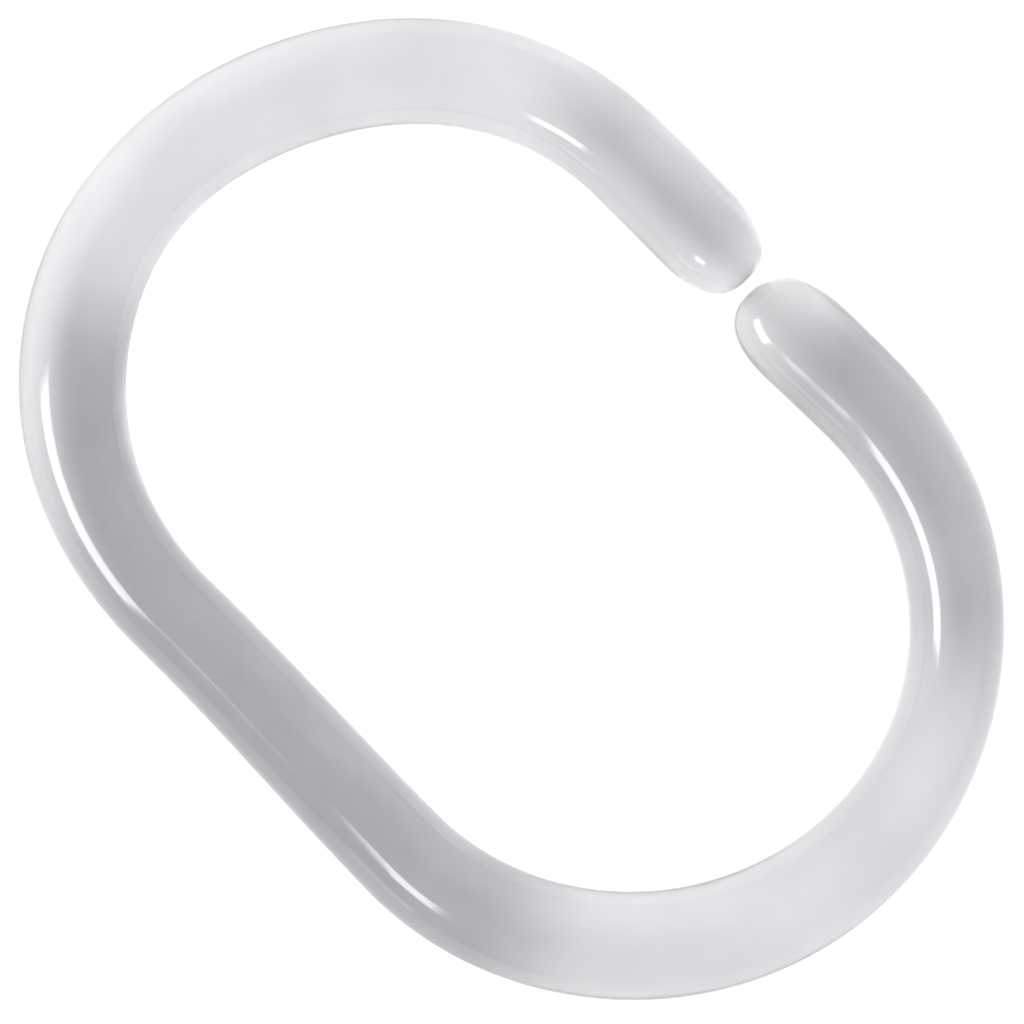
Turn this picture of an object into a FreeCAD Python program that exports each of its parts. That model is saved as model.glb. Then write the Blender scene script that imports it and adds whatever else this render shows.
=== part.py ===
import FreeCAD, Part
import os
import Sketcher

# An oval C-shaped ring that hangs a shower curtain on its rod, moulded in one piece from
# clear polypropylene of round section. It lies flat on its side: X runs along the ring,
# Y points to the split side, Z goes through its thickness, and the origin is on the
# ground under the middle of its outline.
#
# The split is opened by bending the closed side, and the bending is greatest at the
# middle of that side. So the moulding is drawn as two halves that meet there face to
# face: the half that hangs on the rod (-X) and the half that carries the curtain (+X).

# Driving sizes in millimetres: name, value, what it sets.
driving_sizes = [
    ("bendInnerRadius", 15.0, "inside of both end bends, half the clear width of the ring"),
    ("straightLength", 18.4, "straight run between the two end bends"),
    ("sectionDiameter", 5.8, "thickness of the round bar"),
    ("splitGap", 0.6, "open space between the two noses"),
    ("splitShift", 0.4, "how far the split sits from the middle, towards the curtain end"),
    ("noseFlat", 0.8, "flat left in the centre of each rounded nose"),
]

# What the driving sizes give, written once for every sketch that needs it.
bar_radius = "Sizes.sectionDiameter / 2"
bend_radius = "(Sizes.bendInnerRadius + Sizes.sectionDiameter / 2)"
half_straight = "Sizes.straightLength / 2"


def make_sizes(doc):
    sheet = doc.addObject("Spreadsheet::Sheet", "Sizes")
    for row, (name, value, meaning) in enumerate(driving_sizes, start=1):
        sheet.set(f"A{row}", name)
        sheet.set(f"B{row}", str(value))
        sheet.set(f"C{row}", meaning)
        sheet.setAlias(f"B{row}", name)
    doc.recompute()
    return sheet


def make_sketch(body, name, plane_role):
    sketch = body.newObject("Sketcher::SketchObject", name)
    planes = [plane for plane in body.Origin.OriginFeatures if plane.Role == plane_role]
    sketch.AttachmentSupport = (planes[0], [""])
    sketch.MapMode = "FlatFace"
    return sketch


def bind(sketch, constraint, name, expression):
    sketch.renameConstraint(sketch.addConstraint(constraint), name)
    sketch.setExpression(f"Constraints.{name}", expression)


def draw_centre_line(body, name, sizes, side):
    """Half of the closed side, one end bend and one arm, as a chain of tangent runs."""
    sketch = make_sketch(body, name, "XY_Plane")
    radius = sizes.bendInnerRadius + sizes.sectionDiameter / 2
    bend_x = side * sizes.straightLength / 2
    tip_x = sizes.splitShift + side * sizes.splitGap / 2
    back_middle = FreeCAD.Vector(0, -radius, 0)
    back_end = FreeCAD.Vector(bend_x, -radius, 0)
    bend_side = FreeCAD.Vector(bend_x + side * radius, 0, 0)
    arm_start = FreeCAD.Vector(bend_x, radius, 0)
    arm_tip = FreeCAD.Vector(tip_x, radius, 0)
    back = sketch.addGeometry(Part.LineSegment(back_middle, back_end))
    bend = sketch.addGeometry(Part.Arc(back_end, bend_side, arm_start))
    arm = sketch.addGeometry(Part.LineSegment(arm_start, arm_tip))

    # A sketch names a point by its curve and 1 for the start, 2 for the end, 3 for the
    # centre. Arcs run anticlockwise, so the -X bend starts at the arm.
    back_joins, arm_joins = ((bend, 1), (bend, 2)) if side > 0 else ((bend, 2), (bend, 1))
    origin, x_axis, y_axis = (-1, 1), -1, -2
    sketch.addConstraint(Sketcher.Constraint("PointOnObject", back, 1, y_axis))
    sketch.addConstraint(Sketcher.Constraint("Horizontal", back))
    sketch.addConstraint(Sketcher.Constraint("PointOnObject", bend, 3, x_axis))
    sketch.addConstraint(Sketcher.Constraint("Tangent", back, 2, *back_joins))
    sketch.addConstraint(Sketcher.Constraint("Tangent", arm, 1, *arm_joins))
    sketch.addConstraint(Sketcher.Constraint("Horizontal", arm))

    # Distances along X are measured in the direction that keeps them positive.
    bend_place = [origin, (bend, 3)] if side > 0 else [(bend, 3), origin]
    arm_reach = [(arm, 2), (bend, 3)] if side > 0 else [(bend, 3), (arm, 2)]
    arm_length = abs(bend_x - tip_x)
    bind(sketch, Sketcher.Constraint("Radius", bend, radius), "bendRadius", bend_radius)
    bind(sketch, Sketcher.Constraint("DistanceX", *bend_place[0], *bend_place[1], abs(bend_x)),
         "bendPlace", half_straight)
    bind(sketch, Sketcher.Constraint("DistanceX", *arm_reach[0], *arm_reach[1], arm_length),
         "armLength", f"{half_straight} - ({side}) * Sizes.splitShift - Sizes.splitGap / 2")
    return sketch


def draw_section(body, name, sizes):
    """The round bar where the two halves meet, at the middle of the closed side."""
    sketch = make_sketch(body, name, "YZ_Plane")
    radius = sizes.sectionDiameter / 2
    offset = sizes.bendInnerRadius + radius
    centre = FreeCAD.Vector(-offset, 0, 0)
    bar = sketch.addGeometry(Part.Circle(centre, FreeCAD.Vector(0, 0, 1), radius))
    sketch.addConstraint(Sketcher.Constraint("PointOnObject", bar, 3, -1))
    bind(sketch, Sketcher.Constraint("Radius", bar, radius), "barRadius", bar_radius)
    bind(sketch, Sketcher.Constraint("DistanceX", bar, 3, -1, 1, offset), "offset", bend_radius)
    return sketch


def find_tip_edge(shape, tip):
    """The name of the round edge at the arm's cut end."""
    for number, edge in enumerate(shape.Edges, start=1):
        if isinstance(edge.Curve, Part.Circle) and edge.Curve.Center.isEqual(tip, 1e-4):
            return f"Edge{number}"
    raise RuntimeError("the arm has no round end edge")


def make_half(doc, name, sizes, side):
    """One half of the ring: a round bar swept along its centre line, its nose rounded off."""
    body = doc.addObject("PartDesign::Body", name)
    body.Label = name
    centre_line = draw_centre_line(body, f"{name}_centre_line", sizes, side)
    section = draw_section(body, f"{name}_section", sizes)
    bar = body.newObject("PartDesign::AdditivePipe", f"{name}_bar")
    bar.Profile = section
    bar.Spine = (centre_line, [])
    doc.recompute()

    tip = centre_line.getPoint(2, 2)
    nose = body.newObject("PartDesign::Fillet", f"{name}_nose")
    nose.Base = (bar, [find_tip_edge(bar.Shape, tip)])
    nose.setExpression("Radius", f"{bar_radius} - Sizes.noseFlat / 2")

    # The bar's centre line lies half its thickness above the ground.
    body.setExpression(".Placement.Base.z", bar_radius)
    return body


def check(doc, halves):
    doc.recompute()
    for thing in doc.Objects:
        if "Invalid" in thing.State or "Error" in thing.State:
            raise RuntimeError(f"{thing.Label} did not rebuild")
    for half in halves:
        if half.Shape.isNull() or not half.Shape.isValid():
            raise RuntimeError(f"{half.Label} has no valid solid")


doc = FreeCAD.newDocument("ShowerCurtainRing")
sizes = make_sizes(doc)
rod_half = make_half(doc, "rod_half", sizes, -1)
curtain_half = make_half(doc, "curtain_half", sizes, 1)
halves = [rod_half, curtain_half]
check(doc, halves)

os.makedirs("parts", exist_ok=True)
for half in halves:
    half.Shape.exportStep(f"parts/{half.Label}.step")
    box = half.Shape.optimalBoundingBox(False)
    print(f"{half.Label}: {half.Shape.Volume:.1f} mm3, X {box.XMin:.2f} to {box.XMax:.2f}, "
          f"Y {box.YMin:.2f} to {box.YMax:.2f}, Z {box.ZMin:.2f} to {box.ZMax:.2f}")
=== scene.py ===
import bpy
import numpy as np
from math import cos, pi, radians, sin
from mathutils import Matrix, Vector


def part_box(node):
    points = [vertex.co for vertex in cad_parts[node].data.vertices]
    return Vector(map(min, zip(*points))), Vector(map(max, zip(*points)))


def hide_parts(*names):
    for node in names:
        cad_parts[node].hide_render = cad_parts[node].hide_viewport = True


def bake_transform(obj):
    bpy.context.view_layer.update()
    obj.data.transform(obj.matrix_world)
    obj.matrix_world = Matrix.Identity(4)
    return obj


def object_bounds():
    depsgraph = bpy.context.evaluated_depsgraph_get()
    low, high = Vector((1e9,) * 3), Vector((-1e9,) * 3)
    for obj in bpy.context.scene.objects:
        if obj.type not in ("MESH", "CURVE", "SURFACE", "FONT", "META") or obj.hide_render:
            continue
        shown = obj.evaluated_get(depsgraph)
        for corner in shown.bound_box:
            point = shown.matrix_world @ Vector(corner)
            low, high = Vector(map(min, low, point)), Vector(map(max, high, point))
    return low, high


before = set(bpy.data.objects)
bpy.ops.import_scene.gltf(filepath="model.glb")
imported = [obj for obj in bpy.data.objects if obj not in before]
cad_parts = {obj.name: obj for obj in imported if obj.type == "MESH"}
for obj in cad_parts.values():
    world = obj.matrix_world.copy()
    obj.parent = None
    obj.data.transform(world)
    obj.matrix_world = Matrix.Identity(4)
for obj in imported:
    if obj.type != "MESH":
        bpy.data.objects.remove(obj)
cadLow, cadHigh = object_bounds()
print("frame loaded, ring", [round(1000 * side, 2) for side in cadHigh - cadLow], "mm")

# The ring lies flat: +X along it to the curtain end, +Y to its split side, +Z up. Metres.
barRadius = (cadHigh.z - cadLow.z) / 2
bendRadius = cadHigh.y - barRadius          # centre line of the two end bends
halfStraight = cadHigh.x - cadHigh.y        # from the ring's middle to a bend's centre
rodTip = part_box("rod_half")[1].x            # where the rod half's nose ends, along X
mm = 0.001

ring = {
    "splitGap": 0.6 * mm,
    # The rounded end of each arm, seen from above and from the side: how far back from its
    # tip it starts, and the power of its curve, where 2 is an ellipse and more is blunter.
    "noseAbove": (4.5 * mm, 2.5),
    "noseBeside": (3.2 * mm, 2.8),
    "stations": 560,             # rows along the bar between its noses
    "noseRows": 22,              # rows over each nose
    "around": 96,                # points round the bar
    "crowding": 0.3,             # how far they are drawn to its outer and inner edge
    "bendLength": 11 * mm,       # of the closed side that flexes as the ring springs open
    # The bar leaves its mould a little out of true: place along it in mm from the rod
    # nose, then how far it stands outwards in mm, or its width over the nominal width.
    "bows": [(0, 0.17), (6, 0.23), (16, 0.13), (29, -0.34), (44, 0.25), (54, 0.16), (65, -0.3),
             (85, 0.06), (97, -0.11), (121, 0.1), (135, 0.02), (145, -0.1), (149, -0.35)],
    "widths": [(0, 0.97), (11, 0.955), (18, 1), (32, 1.025), (39, 1), (48, 1.04), (65, 0.955),
               (80, 0.99), (104, 1.04), (124, 0.91), (144, 1.005), (149, 1)],
    "droop": (20 * mm, 0.12),    # how far back an arm starts to thin, and the share it loses
}
curtainTip = rodTip + ring["splitGap"]
barLength = 2 * pi * bendRadius + 4 * halfStraight + rodTip - curtainTip


def ease(t):
    # Smooth step: three times t squared less twice t cubed, held at 0 and 1 outside.
    t = np.clip(t, 0, 1)
    return t * t * (3 - 2 * t)


def wave(place, points):
    # A smooth curve through the given points: between two of them it is the cubic that has
    # their values, and at each the slope of the line between its two neighbours.
    at, value = np.array(points).T
    at = at * mm
    slope = np.gradient(value, at)
    k = np.clip(np.searchsorted(at, place) - 1, 0, len(at) - 2)
    gap = at[k + 1] - at[k]
    t = (place - at[k]) / gap
    start = (1 + 2 * t) * (1 - t) ** 2 * value[k] + t * (1 - t) ** 2 * gap * slope[k]
    end = t ** 2 * (3 - 2 * t) * value[k + 1] + t ** 2 * (t - 1) * gap * slope[k + 1]
    return start + end


def taper(fromTip, length, power):
    # 1 along the bar, and over the nose the height of a superellipse: 1 less the power of
    # the distance still to go to its start, over its length, and then the power's root.
    left = 1 - np.minimum(fromTip / length, 1)
    return (1 - left ** power) ** (1 / power)


def centreLine(place):
    # Arm, half turn, closed side, half turn, arm, by length from the rod half's nose. On a
    # half turn the outward direction turns by the length over the bend's radius, and the
    # point lies one radius out from the bend's centre. Returns points and directions.
    turn = pi * bendRadius
    armEnd = halfStraight + rodTip
    backStart, backEnd = armEnd + turn, armEnd + turn + 2 * halfStraight
    lastArm = backEnd + turn
    angle = np.interp(place, [armEnd, backStart, backEnd, lastArm],
                      [pi / 2, 1.5 * pi, 1.5 * pi, 2.5 * pi])
    slide = np.interp(place, [0, armEnd, backStart, backEnd, lastArm, barLength],
                      [rodTip, -halfStraight, -halfStraight, halfStraight, halfStraight, curtainTip])
    out = np.stack([np.cos(angle), np.sin(angle)], axis=1)
    point = np.stack([slide, np.zeros_like(slide)], axis=1) + bendRadius * out
    return point, out


def makeRing():
    # A section carried along the centre line. Rows crowd towards the tips: over a nose the
    # distance from its tip is its length times 1 less the cosine of an even angle.
    turn = np.linspace(0, pi / 2, ring["noseRows"] + 1)[1:]
    nose = ring["noseAbove"][0] * (1 - np.cos(turn))
    middle = np.linspace(nose[-1], barLength - nose[-1], ring["stations"])[1:-1]
    place = np.concatenate([nose, middle, (barLength - nose)[::-1]])
    fromTip = np.minimum(place, barLength - place)
    width = taper(fromTip, *ring["noseAbove"]) * wave(place, ring["widths"])
    droopLength, droop = ring["droop"]
    height = taper(fromTip, *ring["noseBeside"]) * (1 - droop * ease(1 - fromTip / droopLength))
    point, out = centreLine(place)
    point = point + out * wave(place, ring["bows"])[:, None] * mm
    # The angle round the bar is an even one less a share of the sine of its double.
    even = np.linspace(0, 2 * pi, ring["around"], endpoint=False)
    around = even - ring["crowding"] * np.sin(2 * even)
    reach = barRadius * np.cos(around) * width[:, None]
    rise = barRadius * np.sin(around) * height[:, None]
    rows, cols = reach.shape
    grid = np.empty((rows, cols, 3))
    grid[..., :2] = point[:, None] + out[:, None] * reach[..., None]
    grid[..., 2] = barRadius + rise
    ends = np.array([0, barLength])
    tips, tipsOut = centreLine(ends)
    tips = tips + tipsOut * wave(ends, ring["bows"])[:, None] * mm
    verts = np.concatenate([grid.reshape(-1, 3), np.c_[tips, [barRadius, barRadius]]])
    row = np.arange(rows - 1)[:, None] * cols
    col, after = np.arange(cols), (np.arange(cols) + 1) % cols
    quads = np.stack([row + col, row + cols + col, row + cols + after, row + after], axis=2)
    last = (rows - 1) * cols
    firstFan = np.stack([np.full(cols, rows * cols), col, after], axis=1)
    lastFan = np.stack([np.full(cols, rows * cols + 1), last + after, last + col], axis=1)
    mesh = bpy.data.meshes.new("curtain_ring")
    mesh.from_pydata(verts.tolist(), [], quads.reshape(-1, 4).tolist()
                     + firstFan.tolist() + lastFan.tolist())
    mesh.shade_smooth()
    # The bar as if pulled straight, for patterns that follow it: length, reach and rise.
    straight = np.zeros((len(verts), 3))
    straight[:-2, 0] = np.repeat(place, cols)
    straight[:-2, 1], straight[:-2, 2] = reach.ravel(), rise.ravel()
    straight[-1, 0] = barLength
    mesh.attributes.new("straightBar", "FLOAT_VECTOR", "POINT").data.foreach_set(
        "vector", straight.astype(np.float32).ravel())
    # Painted shade: darker zones along the bar and across it, which stand in for how it is lit.
    paintedShade = paintedShadeAt(straight[:, 0], np.append(np.tile(np.cos(around), rows), [0, 0]))
    mesh.attributes.new("paintedShade", "FLOAT", "POINT").data.foreach_set("value", paintedShade.astype(np.float32))
    return bpy.data.objects.new("curtain_ring", mesh), straight[:, 0]


plastic = {
    "clear": (0.99, 0.992, 1),         # colour of the clear plastic, where no shade is painted
    "paintedShadeColour": (0.288, 0.29, 0.307),      # and of the painted shade at its fullest
    # Painted shade along the bar, 0 none to 1 full: place in mm from the rod nose, then at the
    # bar's outer edge, in its middle and at its inner edge.
    "paintedShade": [(0, 0.2, 0.45, 0), (3, 0.55, 0.7, 0.1), (10, 0.5, 0.7, 0.2), (17, 0.45, 0.45, 0.35),
             (43, 0.2, 0.5, 0.6), (51, 0.05, 0.85, 0.9), (67, 0.85, 0.85, 0.75), (89, 0.8, 0.8, 0.7),
             (96, 0.45, 0.5, 0.45), (118, 0.6, 0.45, 0.45), (128, 0.7, 0.75, 0.25),
             (142, 0.7, 0.75, 0.5), (149, 0, 0.4, 0)],
    "edgeReach": 0.7,                  # of the half width, where the edge's painted shade is reached
    "mottle": 0.05,                    # how far the painted shade wanders at random from all that
    "roughness": (0.08, 0.11),
    "flowScale": 420,                  # of the noise behind that wandering, per metre
    "flowStretch": (0.35, 1, 1),       # drawn out along the bar
    "flowDetail": 3,
    "flowRange": (0.3, 0.7),           # of the noise, spread over the whole mottle
    "waveScale": 300,                  # of the skin's faint waves, per metre
    "waveDetail": 1,
    "waveHeight": 0.012 * mm,
    "index": 1.49,
    "tint": (0.8, 0.8, 0.815),
    "density": 71,                     # of the tint, per metre
}


def paintedShadeAt(place, side):
    # From row to row along the bar, and from its middle to its edges, the painted shade changes
    # as a smooth step. Side is 1 at the bar's outer edge, 0 in its middle, -1 at its inner.
    rows = np.array(plastic["paintedShade"])
    at, values = rows[:, 0] * mm, rows[:, 1:]
    k = np.clip(np.searchsorted(at, place) - 1, 0, len(at) - 2)
    step = ease((place - at[k]) / (at[k + 1] - at[k]))[:, None]
    outer, middle, inner = (values[k] + (values[k + 1] - values[k]) * step).T
    edge = np.where(side > 0, outer, inner)
    return middle + (edge - middle) * ease(np.abs(side) / plastic["edgeReach"])


def clearPlastic():
    material = bpy.data.materials.new("clearPlastic")
    material.use_nodes = True
    nodes, links = material.node_tree.nodes, material.node_tree.links
    shader = nodes["Principled BSDF"]
    shader.inputs["IOR"].default_value = plastic["index"]
    shader.inputs["Transmission Weight"].default_value = 1
    bar = nodes.new("ShaderNodeAttribute")
    bar.attribute_name = "straightBar"
    stretch = nodes.new("ShaderNodeMapping")
    stretch.inputs["Scale"].default_value = plastic["flowStretch"]
    links.new(bar.outputs["Vector"], stretch.inputs["Vector"])
    flow = nodes.new("ShaderNodeTexNoise")
    flow.inputs["Scale"].default_value = plastic["flowScale"]
    flow.inputs["Detail"].default_value = plastic["flowDetail"]
    links.new(stretch.outputs["Vector"], flow.inputs["Vector"])
    # The painted shade, with a random wander from the flow noise, darkens the base colour from the
    # clear colour towards the shade colour.
    paintedShade = nodes.new("ShaderNodeAttribute")
    paintedShade.attribute_name = "paintedShade"
    wander = nodes.new("ShaderNodeMapRange")
    flowLow, flowHigh = plastic["flowRange"]
    wander.inputs["From Min"].default_value = flowLow
    wander.inputs["From Max"].default_value = flowHigh
    wander.inputs["To Min"].default_value = -plastic["mottle"]
    wander.inputs["To Max"].default_value = plastic["mottle"]
    links.new(flow.outputs["Fac"], wander.inputs["Value"])
    total = nodes.new("ShaderNodeMath")
    total.operation = "ADD"
    total.use_clamp = True
    links.new(paintedShade.outputs["Fac"], total.inputs[0])
    links.new(wander.outputs["Result"], total.inputs[1])
    mix = nodes.new("ShaderNodeMix")
    mix.data_type = "RGBA"
    mixColours = [socket for socket in mix.inputs if socket.type == "RGBA"]
    mixColours[0].default_value = (*plastic["clear"], 1)
    mixColours[1].default_value = (*plastic["paintedShadeColour"], 1)
    links.new(total.outputs["Value"], mix.inputs["Factor"])
    mixed = [socket for socket in mix.outputs if socket.type == "RGBA"][0]
    links.new(mixed, shader.inputs["Base Color"])
    rough = nodes.new("ShaderNodeMapRange")
    rough.inputs["To Min"].default_value, rough.inputs["To Max"].default_value = plastic["roughness"]
    links.new(flow.outputs["Fac"], rough.inputs["Value"])
    links.new(rough.outputs["Result"], shader.inputs["Roughness"])
    skin = nodes.new("ShaderNodeTexNoise")
    skin.inputs["Scale"].default_value = plastic["waveScale"]
    skin.inputs["Detail"].default_value = plastic["waveDetail"]
    links.new(bar.outputs["Vector"], skin.inputs["Vector"])
    waves = nodes.new("ShaderNodeBump")
    waves.inputs["Distance"].default_value = plastic["waveHeight"]
    links.new(skin.outputs["Fac"], waves.inputs["Height"])
    links.new(waves.outputs["Normal"], shader.inputs["Normal"])
    tint = nodes.new("ShaderNodeVolumeAbsorption")
    tint.inputs["Color"].default_value = (*plastic["tint"], 1)
    tint.inputs["Density"].default_value = plastic["density"]
    links.new(tint.outputs["Volume"], nodes["Material Output"].inputs["Volume"])
    return material


curtainRing, place = makeRing()
bpy.context.scene.collection.objects.link(curtainRing)
curtainRing.data.materials.append(clearPlastic())
print("ring made:", len(curtainRing.data.polygons), "faces")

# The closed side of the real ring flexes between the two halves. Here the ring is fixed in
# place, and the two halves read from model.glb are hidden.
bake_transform(curtainRing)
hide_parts("rod_half", "curtain_half")

studio = {
    "floorSide": 3,
    "floorColour": (0.9, 0.9, 0.9),
    "floorRoughness": 0.9,
    "sky": 0.75,
    # Softboxes: degrees from +X, degrees from overhead, then distance, width, height in mm
    # and brightness. A glow is the soft border of the light it is named after. None casts
    # a shadow, as on a light table.
    "boxes": {
        "window": (243.4, 57, 500, 300, 160, 12),
        "windowGlow": (243.4, 57, 500, 340, 200, 3.5),
        "lamp": (280.8, 49, 153, 22, 30, 12),
        "lampGlow": (280.8, 49, 153, 29, 40, 3.5),
        "low": (276, 86, 300, 50, 60, 1.6),
    },
}


def makeFloor():
    half = studio["floorSide"] / 2
    mesh = bpy.data.meshes.new("floor")
    mesh.from_pydata([(-half, -half, 0), (half, -half, 0), (half, half, 0), (-half, half, 0)],
                     [], [(0, 1, 2, 3)])
    material = bpy.data.materials.new("paleFloor")
    material.use_nodes = True
    shader = material.node_tree.nodes["Principled BSDF"]
    shader.inputs["Base Color"].default_value = (*studio["floorColour"], 1)
    shader.inputs["Roughness"].default_value = studio["floorRoughness"]
    shader.inputs["Specular IOR Level"].default_value = 0
    mesh.materials.append(material)
    floor = bpy.data.objects.new("floor", mesh)
    bpy.context.scene.collection.objects.link(floor)


def makeSoftbox(name, way, fromOverhead, distance, width, height, brightness):
    light = bpy.data.lights.new(name, "AREA")
    light.shape = "RECTANGLE"
    light.size, light.size_y = width * mm, height * mm
    light.energy = brightness * pi * light.size * light.size_y
    light.use_shadow = False
    a, z = radians(way), radians(fromOverhead)
    towards = Vector((cos(a) * sin(z), sin(a) * sin(z), cos(z)))
    box = bpy.data.objects.new(name, light)
    box.location = towards * distance * mm
    box.rotation_euler = towards.to_track_quat("Z", "Y").to_euler()
    bpy.context.scene.collection.objects.link(box)


def makeSky():
    world = bpy.data.worlds.new("studio")
    world.use_nodes = True
    world.node_tree.nodes["Background"].inputs["Color"].default_value = (1, 1, 1, 1)
    world.node_tree.nodes["Background"].inputs["Strength"].default_value = studio["sky"]
    bpy.context.scene.world = world


makeFloor()
makeSky()
for name, settings in studio["boxes"].items():
    makeSoftbox(name, *settings)
print("studio lit")

view = {
    "width": 56.83 * mm,         # seen across the picture, at the bar's centre line
    "centre": (0, -0.32 * mm),
    "lens": 200,
    "sensor": 36,
    "clip": 100,                 # times nearer, and times farther, than the ring
    "roll": 45.06,               # degrees: the ring lies from upper left to lower right
}


def makeCamera():
    camera = bpy.data.cameras.new("camera")
    camera.lens, camera.sensor_width = view["lens"], view["sensor"]
    height = view["width"] * view["lens"] / view["sensor"]
    holder = bpy.data.objects.new("camera", camera)
    holder.location = (*view["centre"], barRadius + height)
    holder.rotation_euler = (0, 0, radians(view["roll"]))
    camera.clip_start, camera.clip_end = height / view["clip"], height * view["clip"]
    bpy.context.scene.collection.objects.link(holder)
    bpy.context.scene.camera = holder
    bpy.context.scene.view_settings.view_transform = "Standard"


makeCamera()
